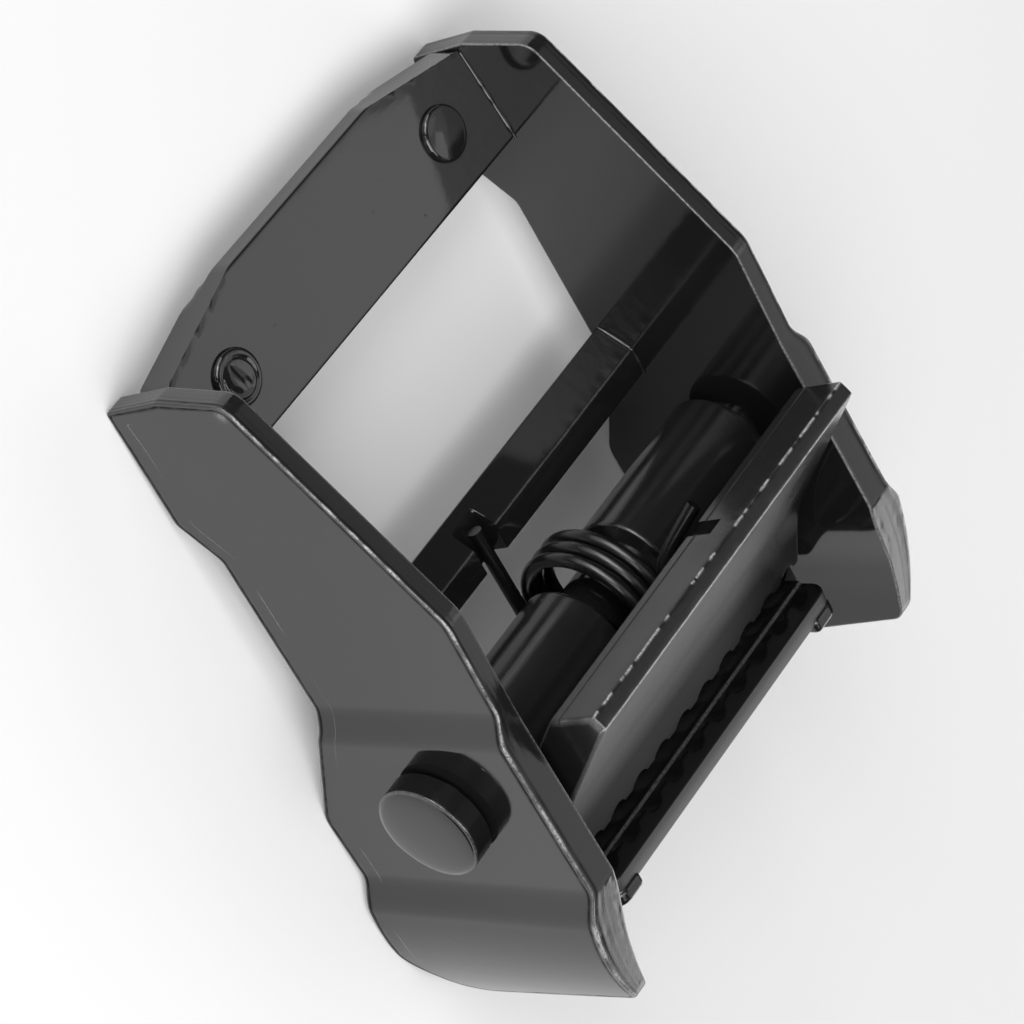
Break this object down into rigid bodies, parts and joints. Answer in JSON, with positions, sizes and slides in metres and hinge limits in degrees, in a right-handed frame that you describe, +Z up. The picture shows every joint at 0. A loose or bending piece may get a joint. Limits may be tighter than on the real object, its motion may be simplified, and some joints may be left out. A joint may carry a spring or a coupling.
{
  "type": "cam buckle",
  "caption": "Cam buckle for webbing: side plates, a riveted bar for a sewn loop, an anvil bar, and a sprung cam lever with a toothed edge that grips the strap.",
  "frame": {"origin": "middle of the underside of the box round the buckle as it rests on a level surface", "axes": "+X across the webbing towards the pin's headed end, +Y along the buckle from the sewn end to the mouth, +Z up"},
  "size_m": [0.0352, 0.0438, 0.02],
  "materials": {
    "coated_steel": "glossy black coating on sheared and bent sheet",
    "coated_casting": "glossy black coating on a casting",
    "coated_spring_steel": "black coated spring wire"
  },
  "bodies": {
    "frame": {"side_plate_near": "coated_steel", "side_plate_far": "coated_steel", "end_plate": "coated_steel", "end_rivet_near": "coated_steel", "end_rivet_far": "coated_steel", "crossbar": "coated_steel", "anvil_bar": "coated_steel", "pivot_pin": "coated_steel", "torsion_spring": "coated_spring_steel"},
    "cam": {"cam_lever": "coated_casting"}
  },
  "joints": [
    {"name": "cam_hinge", "type": "hinge", "parent": "frame", "child": "cam", "pos_m": [-0.00042, 0.00588, 0.00936], "axis": [1, 0, 0], "range_deg": [0, 40], "stiffness_Nm_per_rad": 0.05, "springref_deg": -34.38, "deforming": ["torsion_spring"]}
  ]
}
